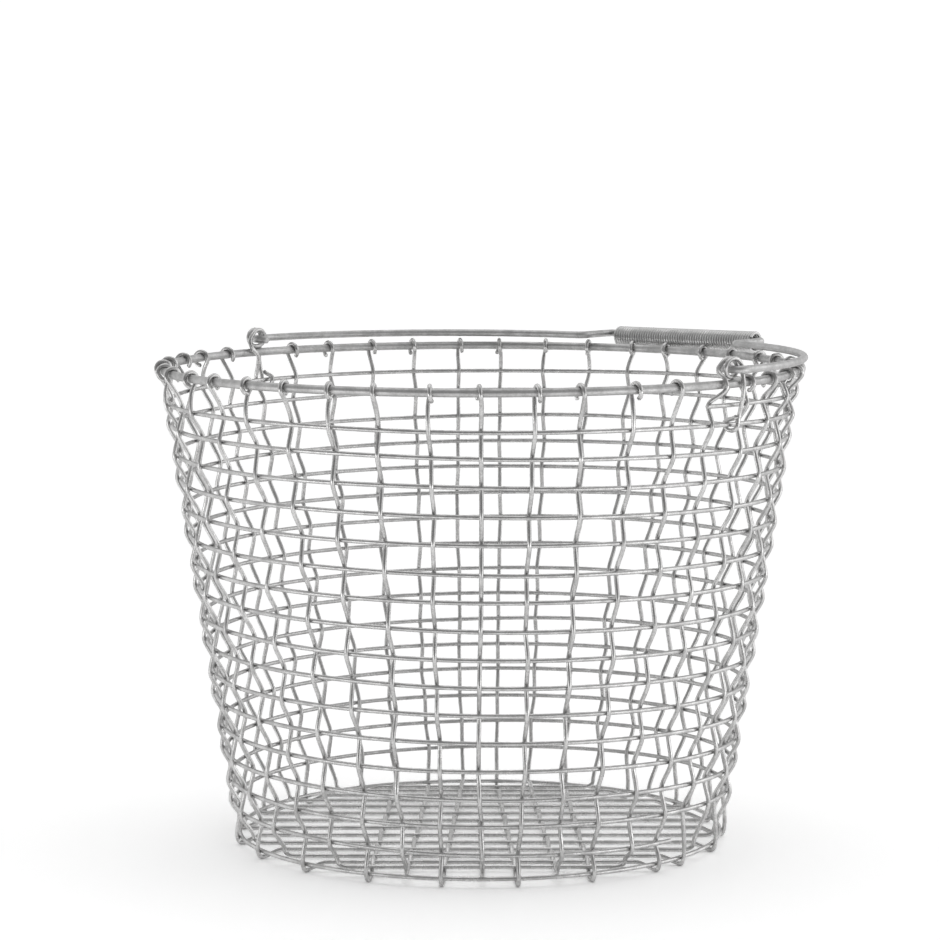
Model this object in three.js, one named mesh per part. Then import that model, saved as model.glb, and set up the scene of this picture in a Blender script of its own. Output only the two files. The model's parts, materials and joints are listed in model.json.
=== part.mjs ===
// A hand-woven basket of galvanised wire with a swinging bail, in millimetres, +Z up.
// The origin is under the middle of the whole, on the surface that the basket stands on.
// +X runs along the bail's hinge line, and at rest the bail lies back on the rim, towards +Y.
import * as THREE from "three";

// Wires, by diameter
const wire = 2.2; // stakes and weaver
const rimWire = 5;
const bailWire = 4.5;
const coilWire = 1.5; // the real turns touch, and these stay apart
const clearance = 0.4; // left between wires that bear on each other

// Basket, by the centre lines of its rim and base hoop
const rimDiameter = 380;
const baseDiameter = 292;
const rise = 281;

// Stakes: each runs down the wall, across the floor and up the wall again, but for one odd end
const stakePairs = 20;
const depthPairs = 3; // on each side of the odd stake, those that cross the floor front to back
const hingeToOdd = 6; // stakes from the hinge line round to the odd one

// Foot and floor
const hookDrop = 4; // the stakes that hook under the base hoop, below its centre
const floorLift = 0.6; // cross stakes above the base hoop
const floorSettle = 8; // from the hoop to where a cross stake lies level
const oddCrossings = 8; // cross stakes that the odd stake is woven through
const oddTail = 6; // its length past the last of them

// Weaver: one wire wound round the stakes from the rim down
const weaverTurns = 16;
const weaverStart = 12; // below the rim
const firstTurnDrop = 11.2;
const lastRise = 12.5; // the last turn's end above the base hoop
const weaverTail = 3; // its first end past the stake that holds it

// Stake ends wrapped over the rim
const wrapBegin = -35; // degrees above level, on the side where the stake comes up
const wrapTurn = 270; // degrees round the rim
const wrapSteps = 5;

// Bail eyes: the ends of two stakes, wound into rings on the rim
const eyeHeight = 14.5; // top of a ring above the rim
const eyeWidth = 12.6;
const eyeTurns = 1.5;
const eyeSteps = 8; // to a turn
const rightLegReach = 6; // where the loose end meets the weaver, along the wall from the eye
const leftLegReach = -6;

// Bail and its grip
const pinReach = 9; // the bail's turned-in ends, past the rim
const pinBend = 6; // radius where an end turns into its arm
const armOut = 6.6; // an arm outside the rim, at its eye
const armRadius = 166;
const bailBend = 4.8; // radius at the shoulders
const arcSteps = 12;
const bendSteps = 3;
const gripLength = 109;
const gripOuter = 13.2;
const gripTurns = 54;
const gripSteps = 6;
const gripPlay = 2.5; // between the grip's end and the bail's shoulder

// Sections: a polygon with the same area as its round wire
const corner = (sides, diameter) =>
  (diameter / 2) * Math.sqrt((2 * Math.PI) / (sides * Math.sin((2 * Math.PI) / sides)));
const flat = (sides, diameter) => corner(sides, diameter) * Math.cos(Math.PI / sides);
const THIN = 4; // sides of the thin wires
const THICK = 8; // sides of the rim and the bail
const wireFlat = flat(THIN, wire);
const bailCorner = corner(THICK, bailWire);
const lap = wire + clearance; // between the centres of wires that cross

// Places worked out from the sizes
const stakes = 2 * stakePairs + 1;
const stakeStep = (2 * Math.PI) / stakes;
const oddStake = stakes - hingeToOdd;
const rimRadius = rimDiameter / 2;
const baseRadius = baseDiameter / 2;
const hoopHeight = wireFlat + hookDrop;
const rimHeight = hoopHeight + rise;
const floorHeight = hoopHeight + floorLift;
const wallLean = Math.atan2(rimRadius - baseRadius, rise);
const rowPitch = (rise - weaverStart - firstTurnDrop - lastRise) / (weaverTurns - 1);
const seat = rimWire / 2 + clearance + wireFlat; // a thin wire's centre from the rim's
const wrapHalf = THREE.MathUtils.degToRad(wrapTurn / wrapSteps) / 2;
const wrapRadius = seat / Math.cos(wrapHalf);
const wrapOuter = wrapRadius + wireFlat / Math.cos(wrapHalf);
const coilFlat = flat(THIN, coilWire);
const coilHalf = Math.PI / gripSteps;
const coilRadius = gripOuter / 2 - coilFlat;
const coilOuter = coilRadius + coilFlat / Math.cos(coilHalf);
const bailLift = wrapOuter + clearance + bailCorner; // the bail lies level on the wraps
const gripReach = wrapOuter + clearance + coilOuter; // and the grip against them, outside the rim
const gripHang = coilRadius * Math.cos(coilHalf) - coilFlat - bailCorner - clearance; // below the bar
const gripY = rimRadius + Math.sqrt(gripReach ** 2 - (bailLift - gripHang) ** 2);
const overhang = gripY + coilOuter - rimRadius - wrapOuter; // the grip past the rim's wraps

// Directions and points about the basket's axis
const UP = new THREE.Vector3(0, 0, 1);
const point = (x, y, z) => new THREE.Vector3(x, y, z);
const radial = (angle) => point(Math.cos(angle), Math.sin(angle), 0);
const tangent = (angle) => point(-Math.sin(angle), Math.cos(angle), 0);
const around = (radius, angle, z) => radial(angle).multiplyScalar(radius).setZ(z);
const stakeAngle = (i) => (i + 0.5) * stakeStep;
const wallRadius = (z) => baseRadius + ((rimRadius - baseRadius) * (z - hoopHeight)) / rise;
const wallNormal = (angle) =>
  radial(angle).multiplyScalar(Math.cos(wallLean)).addScaledVector(UP, -Math.sin(wallLean));
const wallUp = (angle) =>
  radial(angle).multiplyScalar(Math.sin(wallLean)).addScaledVector(UP, Math.cos(wallLean));

// A wire along a path of { at, face }, with a flat of its section turned to each face direction
function tube(path, sides, diameter, ring = false) {
  const count = path.length;
  const reach = corner(sides, diameter);
  const heading = (i) => path[(i + 1) % count].at.clone().sub(path[i % count].at).normalize();
  const positions = [];
  path.forEach(({ at, face }, i) => {
    const before = ring || i > 0 ? heading(i + count - 1) : heading(0);
    const after = ring || i < count - 1 ? heading(i) : before;
    const along = before.clone().add(after).normalize();
    const side = face.clone().addScaledVector(along, -face.dot(along)).normalize();
    const up = along.clone().cross(side);
    const bend = after.clone().sub(before).normalize();
    const stretch = 1 / along.dot(before) - 1; // a mitre keeps the section's width through the bend
    for (let k = 0; k < sides; k++) {
      const turn = ((k + 0.5) * 2 * Math.PI) / sides;
      const spoke = side.clone().multiplyScalar(reach * Math.cos(turn));
      spoke.addScaledVector(up, reach * Math.sin(turn));
      spoke.addScaledVector(bend, spoke.dot(bend) * stretch);
      positions.push(...at.clone().add(spoke).toArray());
    }
  });
  const index = [];
  const spans = ring ? count : count - 1;
  for (let i = 0; i < spans; i++) {
    const a = i * sides;
    const b = ((i + 1) % count) * sides;
    for (let k = 0; k < sides; k++) {
      const next = (k + 1) % sides;
      index.push(a + k, a + next, b + next, a + k, b + next, b + k);
    }
  }
  const last = (count - 1) * sides;
  for (let k = 1; k < sides - 1 && !ring; k++) {
    index.push(0, k + 1, k, last, last + k, last + k + 1);
  }
  const geometry = new THREE.BufferGeometry();
  geometry.setAttribute("position", new THREE.Float32BufferAttribute(positions, 3));
  geometry.setIndex(index);
  geometry.computeVertexNormals();
  return geometry;
}

// Weaver: vertex n lies at stake n, counted on from the first turn to the last
function weaverVertex(n) {
  const turn = (n + 0.5) / stakes;
  const fall = turn < 1 ? firstTurnDrop * turn : firstTurnDrop + rowPitch * (turn - 1);
  const z = rimHeight - weaverStart - fall;
  return around(wallRadius(z), stakeAngle(n), z);
}

function weaverPoint(n) {
  const whole = Math.floor(n);
  return weaverVertex(whole).lerp(weaverVertex(whole + 1), n - whole);
}

// The stakes are odd in number, so a stake passes each row on the other side from the last
const isOutside = (n) => n % 2 === 0;

function weaverTurn(turn) {
  const seam = clearance / 2 / (stakeStep * baseRadius);
  const start = (wire / 2 + weaverTail) / (stakeStep * rimRadius);
  const from = turn === 0 ? -1 - start : turn * stakes - 0.5 + seam;
  const to = (turn + 1) * stakes - 0.5 - seam;
  const places = [from];
  for (let n = Math.ceil(from); n < to; n++) places.push(n);
  places.push(to);
  return places.map((n) => ({ at: weaverPoint(n), face: wallNormal(stakeAngle(n)) }));
}

// A point of the radial plane at an angle: q outwards and w upwards from a wire's centre
const beside = (centre, angle, q, w) =>
  centre.clone().addScaledVector(radial(angle), q).addScaledVector(UP, w);

function rowPoint(i, row) {
  const n = i + row * stakes;
  return weaverVertex(n).addScaledVector(wallNormal(stakeAngle(n)), isOutside(n) ? lap : -lap);
}

function rimWrap(angle, side) {
  const centre = around(rimRadius, angle, rimHeight);
  const points = [];
  for (let k = 0; k <= wrapSteps; k++) {
    const turn = THREE.MathUtils.degToRad(wrapBegin + (wrapTurn * k) / wrapSteps);
    points.push(beside(centre, angle, side * wrapRadius * Math.cos(turn), wrapRadius * Math.sin(turn)));
  }
  return points;
}

// An eye starts on one side of the rim, winds its ring and ends round a row of the weaver
function bailEye(angle, side, hand, legEnd) {
  const centre = around(rimRadius, angle, rimHeight);
  const along = tangent(angle);
  const spot = (t, q, w) => beside(centre, angle, q, w).addScaledVector(along, t * hand);
  const half = eyeWidth / 2;
  const middle = (eyeHeight + seat) / 2;
  const tall = eyeHeight - middle;
  const apart = half + 1.2 * lap;
  const outside = [
    [-apart, seat, -rimWire / 2],
    [-apart, 0.8 * seat, 0.8 * seat],
  ];
  const inside = [
    [-lap, -1.1 * seat, -rimWire / 2],
    [-0.8 * apart, -1.1 * seat, rimWire / 2],
  ];
  const start = side > 0 ? outside : inside;
  start.push([0.35 * lap - apart, -0.75 * lap, 2 * seat]);
  const path = start.map(([t, q, w]) => ({ at: spot(t, q, w), face: along }));
  for (let k = 1; k <= eyeTurns * eyeSteps; k++) {
    const a = (2 * Math.PI * k) / eyeSteps;
    const at = spot(-half * Math.cos(a), lap * (k / eyeSteps - 0.75), middle + tall * Math.sin(a));
    const face = along.clone().multiplyScalar(Math.cos(a)).addScaledVector(UP, -hand * Math.sin(a));
    path.push({ at, face });
  }
  const held = weaverPoint(legEnd);
  const legAngle = Math.atan2(held.y, held.x);
  const hook = [
    [1, 0.5],
    [0.76, -1],
    [-0.76, -1],
    [-1, 0.3],
    [-1, 1.6],
  ];
  const leg = [spot(half, seat, 0), ...hook.map(([q, w]) => beside(held, legAngle, q * lap, w * lap))];
  const back = along.clone().negate();
  return [...path, ...leg.map((at) => ({ at, face: back }))];
}

const legStep = (reach) => reach / (stakeStep * rimRadius);
const rightEye = stakes - 1;
const leftEye = stakePairs;

// One end of a stake, from the floor up the wall to its cut end
function stakeEnd(i) {
  const angle = stakeAngle(i);
  const hoop = around(baseRadius, angle, hoopHeight);
  const hooked = [
    [-lap, -hookDrop],
    [0.76 * lap, -hookDrop],
    [lap, 0.15 * lap],
  ];
  const upright = [
    [-1.3 * lap, floorLift],
    [-lap, 0.4 * lap],
  ];
  const foot = isOutside(i + weaverTurns * stakes) ? hooked : upright;
  const points = foot.map(([q, w]) => beside(hoop, angle, q, w));
  const top = i === rightEye ? -1 : 0;
  for (let row = weaverTurns - 1; row >= top; row--) points.push(rowPoint(i, row));
  const side = isOutside(i + (top - 1) * stakes) ? 1 : -1;
  points.push(points.at(-1).clone().addScaledVector(wallUp(angle), side > 0 ? lap : wire));
  let eye = [];
  if (i === rightEye) eye = bailEye(0, side, 1, stakes - 0.5 + legStep(rightLegReach));
  else if (i === leftEye) eye = bailEye(Math.PI, side, -1, leftEye + legStep(leftLegReach));
  else points.push(...rimWrap(angle, side));
  return [...points.map((at) => ({ at, face: tangent(angle) })), ...eye];
}

// The floor: stakes are numbered by their place m round from the odd one
const stakeAt = (m) => (oddStake + m + stakes) % stakes;
const entry = (i) => stakeEnd(i)[0].at;
const crossPlaces = [];
for (let m = depthPairs + 1; m <= stakePairs - depthPairs; m++) crossPlaces.push(m);

// Where, from above, the line from a to b meets the line of a cross stake
function meeting(a, b, m) {
  const c = entry(stakeAt(m));
  const d = entry(stakeAt(-m));
  const run = b.clone().sub(a).setZ(0);
  const across = d.sub(c).setZ(0);
  const gap = c.sub(a).setZ(0);
  const share = (gap.x * across.y - gap.y * across.x) / (run.x * across.y - run.y * across.x);
  return a.clone().addScaledVector(run, share).setZ(floorHeight);
}

// Joins two stake ends by floor points, with the wire's flats kept level
function wholeStake(first, floorPoints, second) {
  const run = second[0].at.clone().sub(first[0].at).setZ(0).normalize();
  const level = run.cross(UP);
  return [
    ...first.reverse(),
    ...floorPoints.map((at) => ({ at, face: level })),
    ...second.map(({ at, face }) => ({ at, face: face.negate() })),
  ];
}

function crossStake(m) {
  const first = stakeEnd(stakeAt(m));
  const second = stakeEnd(stakeAt(-m));
  const from = first[0].at.clone().setZ(floorHeight);
  const to = second[0].at.clone().setZ(floorHeight);
  const run = to.clone().sub(from).normalize();
  const settled = [from.addScaledVector(run, floorSettle), to.addScaledVector(run, -floorSettle)];
  return wholeStake(first, settled, second);
}

// Over and under the cross stakes in turn, below the first where the stake comes in under the hoop
const crossingSide = (i, k) => (isOutside(i + weaverTurns * stakes + k) ? -lap : lap);

function depthStake(m) {
  const front = stakeAt(m);
  const back = stakeAt(Math.sign(m) * (stakePairs + 1 - Math.abs(m)));
  const first = stakeEnd(front);
  const second = stakeEnd(back);
  const floorPoints = crossPlaces.map((place, k) => {
    const lastOne = k === crossPlaces.length - 1;
    const drop = lastOne ? crossingSide(back, 0) : crossingSide(front, k);
    return meeting(first[0].at, second[0].at, place).addScaledVector(UP, drop);
  });
  return wholeStake(first, floorPoints, second);
}

function oddStakePath() {
  const end = stakeEnd(oddStake);
  const start = end[0].at;
  const middle = point(0, 0, floorHeight);
  const floorPoints = crossPlaces
    .slice(0, oddCrossings)
    .map((place, k) => meeting(start, middle, place).addScaledVector(UP, crossingSide(oddStake, k)));
  const run = middle.clone().sub(start).setZ(0).normalize();
  floorPoints.push(floorPoints.at(-1).clone().addScaledVector(run, oddTail));
  const level = run.clone().cross(UP);
  return [...end.reverse(), ...floorPoints.map((at) => ({ at, face: level }))];
}

// A hoop with a corner at each stake
function hoopPath(radius, z) {
  const path = [];
  for (let i = 0; i < stakes; i++) {
    path.push({ at: around(radius, stakeAngle(i), z), face: radial(stakeAngle(i)) });
  }
  return path;
}

// Points on an arc of a level circle, from one angle to another
function levelArc(x, y, radius, from, to, steps) {
  const points = [];
  for (let k = 0; k <= steps; k++) {
    points.push(around(radius, from + ((to - from) * k) / steps, 0).add(point(x, y, 0)));
  }
  return points;
}

// The bail about its hinge line: ends turned in through the eyes, arms and a stepped-out grip bar
function bailPath() {
  const armX = rimRadius + armOut;
  const armMiddle = armX - armRadius;
  const shoulderX = gripLength / 2 + gripPlay + bailBend;
  const filletX = shoulderX + bailBend;
  const filletY = pinBend + Math.sqrt((armRadius + bailBend) ** 2 - (filletX - armMiddle) ** 2);
  const armEnd = Math.atan2(filletY - pinBend, filletX - armMiddle);
  const half = [
    point(rimRadius - pinReach, 0, 0),
    ...levelArc(armX - pinBend, pinBend, pinBend, -Math.PI / 2, 0, bendSteps),
    ...levelArc(armMiddle, pinBend, armRadius, 0, armEnd, arcSteps).slice(1, -1),
    ...levelArc(filletX, filletY, bailBend, armEnd + Math.PI, Math.PI, bendSteps),
    ...levelArc(shoulderX - bailBend, gripY - bailBend, bailBend, 0, Math.PI / 2, bendSteps),
  ];
  const other = half.map((at) => at.clone().setX(-at.x));
  return [...half, ...other.reverse()].map((at) => ({ at, face: UP }));
}

function coilPath() {
  const path = [];
  const length = gripLength - 2 * coilFlat;
  for (let k = 0; k <= gripTurns * gripSteps; k++) {
    const a = (2 * Math.PI * k) / gripSteps;
    const x = length * (k / (gripTurns * gripSteps) - 0.5);
    const y = gripY + coilRadius * Math.cos(a);
    const z = coilRadius * Math.sin(a) - gripHang;
    path.push({ at: point(x, y, z), face: point(1, 0, 0) });
  }
  return path;
}

// The least gap between one turn of the coil and the next, on the points of its surface
function leastCoilGap(geometry) {
  const position = geometry.getAttribute("position");
  const turnPoints = gripSteps * THIN;
  const a = new THREE.Vector3();
  const b = new THREE.Vector3();
  let least = Infinity;
  for (let i = 0; i < position.count; i++) {
    a.fromBufferAttribute(position, i);
    const nextTurn = i - (i % THIN) + turnPoints;
    for (let j = nextTurn - THIN; j < Math.min(nextTurn + 2 * THIN, position.count); j++) {
      b.fromBufferAttribute(position, j);
      least = Math.min(least, a.distanceTo(b));
    }
  }
  return least;
}

// Materials
const bright = { color: 0xb4b6b6, roughness: 0.34, metalness: 1 };
const dull = { color: 0x9fa1a1, roughness: 0.45, metalness: 1 };

function piece(name, geometry, finish) {
  const mesh = new THREE.Mesh(geometry, new THREE.MeshStandardMaterial(finish));
  mesh.name = name;
  return mesh;
}

const numbered = (name, n) => `${name}_${String(n).padStart(2, "0")}`;
const thinPiece = (name, path) => piece(name, tube(path, THIN, wire), bright);

// Assembly
const basket = new THREE.Group();
basket.position.y = -overhang / 2;
let depthCount = 0;
for (let m = -depthPairs; m <= depthPairs; m++) {
  if (m === 0) continue;
  depthCount += 1;
  basket.add(thinPiece(numbered("stake_depth", depthCount), depthStake(m)));
}
basket.add(thinPiece("stake_odd", oddStakePath()));
crossPlaces.forEach((m, k) => basket.add(thinPiece(numbered("stake_cross", k + 1), crossStake(m))));
for (let turn = 0; turn < weaverTurns; turn++) {
  basket.add(thinPiece(numbered("weaver_turn", turn + 1), weaverTurn(turn)));
}
basket.add(piece("base_hoop", tube(hoopPath(baseRadius, hoopHeight), THIN, wire, true), bright));
basket.add(piece("rim", tube(hoopPath(rimRadius, rimHeight), THICK, rimWire, true), bright));

const swing = new THREE.Group();
swing.position.z = rimHeight + bailLift;
swing.add(piece("bail", tube(bailPath(), THICK, bailWire), bright));
const coil = tube(coilPath(), THIN, coilWire);
swing.add(piece("grip_coil", coil, dull));
basket.add(swing);

console.log(`grip coil, least gap between turns: ${leastCoilGap(coil).toFixed(2)} mm`);

export default basket;
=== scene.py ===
"""A hand-woven basket of galvanised wire with a swinging bail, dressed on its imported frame.

Everything is in metres, +Z up, with the origin on the ground under the middle of the whole. The
bail's hinge line runs along X, and at rest the bail lies back on the rim, towards +Y.
"""

from __future__ import annotations

import json
import logging
import math
import random
from dataclasses import dataclass, field
from enum import Enum
from typing import Any, Callable, Sequence

import bpy
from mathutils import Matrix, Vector

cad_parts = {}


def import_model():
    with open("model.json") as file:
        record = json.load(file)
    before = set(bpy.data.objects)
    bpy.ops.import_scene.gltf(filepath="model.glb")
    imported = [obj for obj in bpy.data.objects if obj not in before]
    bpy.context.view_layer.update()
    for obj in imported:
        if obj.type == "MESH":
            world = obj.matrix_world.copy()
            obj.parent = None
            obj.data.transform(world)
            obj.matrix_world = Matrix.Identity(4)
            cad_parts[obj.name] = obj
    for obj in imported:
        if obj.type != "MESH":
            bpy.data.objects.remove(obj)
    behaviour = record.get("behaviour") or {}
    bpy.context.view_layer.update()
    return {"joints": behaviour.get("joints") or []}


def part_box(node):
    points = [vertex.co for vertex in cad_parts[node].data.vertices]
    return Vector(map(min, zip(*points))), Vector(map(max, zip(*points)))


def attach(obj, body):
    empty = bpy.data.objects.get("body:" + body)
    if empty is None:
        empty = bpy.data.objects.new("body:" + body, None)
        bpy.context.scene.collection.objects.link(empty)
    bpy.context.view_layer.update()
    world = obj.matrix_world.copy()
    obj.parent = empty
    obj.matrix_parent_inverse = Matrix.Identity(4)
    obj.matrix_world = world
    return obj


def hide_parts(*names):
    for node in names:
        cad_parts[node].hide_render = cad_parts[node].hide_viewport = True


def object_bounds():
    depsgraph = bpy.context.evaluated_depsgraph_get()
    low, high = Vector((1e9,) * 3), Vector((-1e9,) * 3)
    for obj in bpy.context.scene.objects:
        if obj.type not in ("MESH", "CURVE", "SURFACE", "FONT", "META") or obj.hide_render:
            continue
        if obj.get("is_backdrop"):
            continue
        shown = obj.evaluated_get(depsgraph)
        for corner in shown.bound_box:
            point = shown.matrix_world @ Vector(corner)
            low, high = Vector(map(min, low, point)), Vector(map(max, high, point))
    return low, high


LOG = logging.getLogger("wire_basket")

UP = Vector((0.0, 0.0, 1.0))
AXIS = Vector((0.0, -0.005992, 0.0))  # the woven part's own axis, which its wires are laid out about
TURN = 2 * math.pi
ARC_EASE = 0.34  # a curve's handles along an arc, as a share of the way to the next knot
NUDGE = 0.01  # share of a span over which a path's heading is measured
SMOOTH_ANGLE = math.radians(40)  # sharper edges than this stay hard
WEAVER_SEED = 7  # starts the uneven hand that wound the weaver
STAKES_SEED = 19  # starts the one that bent the stakes


class Body(Enum):
    """The bodies of the frame that pieces ride on."""

    BASKET = "basket"
    BAIL = "bail"
    GRIP = "grip"


class Slot(Enum):
    """The record's material slots."""

    STAKE = "stake_wire"
    WEAVER = "weaver_wire"
    HOOP = "hoop_wire"
    RIM = "rim_wire"
    BAIL = "bail_wire"
    GRIP = "grip_wire"


class Effect(Enum):
    """The node groups that the finishes share."""

    BLOOM = "zinc_bloom"
    LINES = "draw_lines"


# Directions about the basket's axis


def radial(angle: float) -> Vector:
    """Points level and outwards at an angle from +X."""
    return Vector((math.cos(angle), math.sin(angle), 0.0))


def tangent(angle: float) -> Vector:
    """Points level along the wall, anticlockwise from above."""
    return Vector((-math.sin(angle), math.cos(angle), 0.0))


def around(radius: float, angle: float, z: float) -> Vector:
    """Gives the point at a radius, an angle and a height."""
    return radial(angle) * radius + UP * z


def beside(centre: Vector, angle: float, out: float, up: float, along: float = 0.0) -> Vector:
    """Steps from a point of the wall.

    Args:
        centre: the point to start from.
        angle: where the point lies round the basket.
        out: distance outwards.
        up: distance upwards.
        along: distance along the wall, anticlockwise from above.

    Returns:
        The point reached.
    """
    return centre + radial(angle) * out + UP * up + tangent(angle) * along


# Wire


@dataclass
class Knot:
    """A point on a wire's centre line.

    Attributes:
        at: the point.
        heading: the wire's direction there, or None to aim from the last knot to the next.
        ease: reach of the curve's handles, as a share of the way to each neighbour.
        girth: share of the wire's full thickness.
    """

    at: Vector
    heading: Vector | None = None
    ease: float = ARC_EASE
    girth: float = 1.0


def trace(path: Callable[[float], Vector], start: float, stop: float, spans: int) -> list[Knot]:
    """Follows a formula with evenly spaced knots.

    Args:
        path: gives the point at a parameter.
        start: the first knot's parameter.
        stop: the last knot's parameter.
        spans: number of spans between the knots.

    Returns:
        One knot more than there are spans, each heading along the path.
    """
    step = (stop - start) / spans
    knots = []
    for k in range(spans + 1):
        t = start + step * k
        heading = path(t + step * NUDGE) - path(t - step * NUDGE)
        knots.append(Knot(path(t), heading.normalized()))
    return knots


def turned_back(knots: Sequence[Knot]) -> list[Knot]:
    """Gives the same knots from the last to the first, heading the other way."""
    return [
        Knot(k.at, -k.heading if k.heading else None, k.ease, k.girth) for k in reversed(knots)
    ]


@dataclass
class Wire:
    """A drawn wire bent through its knots, with its cut ends dressed.

    Attributes:
        name: the piece's name.
        gauge: the wire's diameter.
        knots: the points that it is bent through, about the basket's axis.
        closed: whether its ends are joined.
        steps: rings of facets from knot to knot.
        facets: pairs of facets added to the round of the wire, past four.
        ends: share of the thickness that is left at a cut end's face.
    """

    name: str
    gauge: float
    knots: list[Knot]
    closed: bool = False
    steps: int = 8
    facets: int = 3
    ends: float = 0.7

    def build(self) -> bpy.types.Object:
        """Bends a curve through the knots and makes it a mesh.

        Returns:
            The wire's object, at the origin.
        """
        knots = self.knots if self.closed else self._with_cut_ends()
        bpy.ops.object.select_all(action="DESELECT")
        bpy.ops.curve.primitive_bezier_curve_add(radius=self.gauge, location=(0.0, 0.0, 0.0))
        strand = bpy.context.object
        strand.name = self.name
        curve = strand.data
        curve.dimensions = "3D"
        curve.bevel_depth = self.gauge / 2
        curve.bevel_resolution = self.facets
        curve.use_fill_caps = not self.closed
        spline = curve.splines[0]
        spline.resolution_u = self.steps
        spline.radius_interpolation = "LINEAR"
        spline.bezier_points.add(len(knots) - len(spline.bezier_points))
        spline.use_cyclic_u = self.closed
        for place, point in enumerate(spline.bezier_points):
            self._bend(point, knots, place)
        length = spline.calc_length()
        bpy.ops.object.convert(target="MESH")
        bpy.ops.object.shade_smooth_by_angle(angle=SMOOTH_ANGLE)
        self._measure_map(strand, length)
        strand.data.name = self.name
        return strand

    def _with_cut_ends(self) -> list[Knot]:
        """Adds a short taper to both ends, where the cutters nipped the wire.

        Returns:
            The knots with one more at each end.
        """
        nip = self.gauge * (1 - self.ends) / 2
        first, second = self.knots[0], self.knots[1]
        last, before = self.knots[-1], self.knots[-2]
        out = -first.heading if first.heading else (first.at - second.at).normalized()
        off = last.heading if last.heading else (last.at - before.at).normalized()
        head = Knot(first.at + out * nip, -out, girth=self.ends)
        tail = Knot(last.at + off * nip, off, girth=self.ends)
        return [head, *self.knots, tail]

    def _bend(self, point: Any, knots: list[Knot], place: int) -> None:
        """Sets one point of the curve, with both of its handles.

        Args:
            point: the curve's point.
            knots: all the knots of the curve.
            place: which of them this one is.
        """
        knot = knots[place]
        back = knots[place - 1] if self.closed or place > 0 else knot
        fore = knots[(place + 1) % len(knots)] if self.closed or place < len(knots) - 1 else knot
        heading = knot.heading if knot.heading else (fore.at - back.at).normalized()
        point.handle_left_type = "FREE"
        point.handle_right_type = "FREE"
        at = AXIS + knot.at
        point.co = at
        point.handle_left = at - heading * knot.ease * (knot.at - back.at).length
        point.handle_right = at + heading * knot.ease * (fore.at - knot.at).length
        point.radius = knot.girth

    def _measure_map(self, strand: bpy.types.Object, length: float) -> None:
        """Scales the wire's map to metres: round the wire in U and along it in V.

        Args:
            strand: the wire's object.
            length: the wire's length.
        """
        layer = strand.data.uv_layers.active.data
        places = [0.0] * (2 * len(layer))
        layer.foreach_get("uv", places)
        places[0::2] = [u * math.pi * self.gauge for u in places[0::2]]
        places[1::2] = [v * length for v in places[1::2]]
        layer.foreach_set("uv", places)


def fit(piece: bpy.types.Object, body: Body, slot: Slot, finish: ZincFinish, *nodes: str) -> None:
    """Dresses a finished piece and seats it in the frame.

    Args:
        piece: the piece's object.
        body: the body that it rides on.
        slot: the record's material slot; not used.
        finish: the finish of its surface.
        nodes: the solids that it stands for.
    """
    piece.data.materials.clear()
    piece.data.materials.append(finish.material())
    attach(piece, body.value)
    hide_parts(*nodes)
    LOG.info("%s: %d faces, for %d solids", piece.name, len(piece.data.polygons), len(nodes))


# The weaver's hand


class UnsteadyHand:
    """Small uneven moves of handwork, the same on each run."""

    def __init__(self, seed: int) -> None:
        """Starts the hand's own run of random numbers."""
        self._random = random.Random(seed)

    def off(self, reach: float) -> float:
        """Gives one error of at most a reach to either side."""
        return self._random.uniform(-reach, reach)

    def drift(self, count: int, span: float, reach: float) -> Callable[[float], float]:
        """Makes an error that wanders along a row of places.

        Args:
            count: number of places along the row.
            span: places over which the error changes.
            reach: the largest error to either side.

        Returns:
            A function from a place to the error there.
        """
        marks = [self.off(reach) for _ in range(math.ceil(count / span) + 2)]

        def error(place: float) -> float:
            """Eases from one mark to the next.

            Args:
                place: the place along the row.

            Returns:
                The error there.
            """
            at = min(max(place / span, 0.0), len(marks) - 1)
            low = min(int(at), len(marks) - 2)
            share = at - low
            share *= share * (3 - 2 * share)
            return marks[low] + (marks[low + 1] - marks[low]) * share

        return error


# The basket


@dataclass(frozen=True)
class WallForm:
    """The tapered wall, by the centre lines of its rim and base hoop.

    Attributes:
        rim_height: height of the rim.
        foot_height: height of the base hoop.
        rim_radius: radius of the rim.
        foot_radius: radius of the base hoop.
        rim_gauge: diameter of the rim's wire.
        stakes: uprights round the wall.
    """

    rim_height: float
    foot_height: float
    rim_radius: float = 0.190
    foot_radius: float = 0.146
    rim_gauge: float = 0.005
    stakes: int = 41

    @classmethod
    def on_frame(cls) -> WallForm:
        """Takes the heights of the two hoops from their solids.

        Returns:
            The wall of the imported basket.
        """
        rim_low, rim_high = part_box("rim")
        hoop_low, hoop_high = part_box("base_hoop")
        return cls((rim_low.z + rim_high.z) / 2, (hoop_low.z + hoop_high.z) / 2)

    @property
    def lean(self) -> float:
        """The wall's angle from upright."""
        return math.atan2(self.rim_radius - self.foot_radius, self.rim_height - self.foot_height)

    def stake_angle(self, place: float) -> float:
        """Gives the angle of a place counted in stakes."""
        return (place + 0.5) * TURN / self.stakes

    def stakes_in(self, distance: float) -> float:
        """Gives how many stakes a distance along the rim spans."""
        return distance * self.stakes / (TURN * self.rim_radius)

    def radius_at(self, z: float) -> float:
        """Gives the wall's radius at a height."""
        share = (z - self.foot_height) / (self.rim_height - self.foot_height)
        return self.foot_radius + (self.rim_radius - self.foot_radius) * share

    def normal(self, angle: float) -> Vector:
        """Points out of the wall, square to it."""
        return radial(angle) * math.cos(self.lean) - UP * math.sin(self.lean)

    def rise(self, angle: float) -> Vector:
        """Points up along the wall."""
        return radial(angle) * math.sin(self.lean) + UP * math.cos(self.lean)


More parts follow.
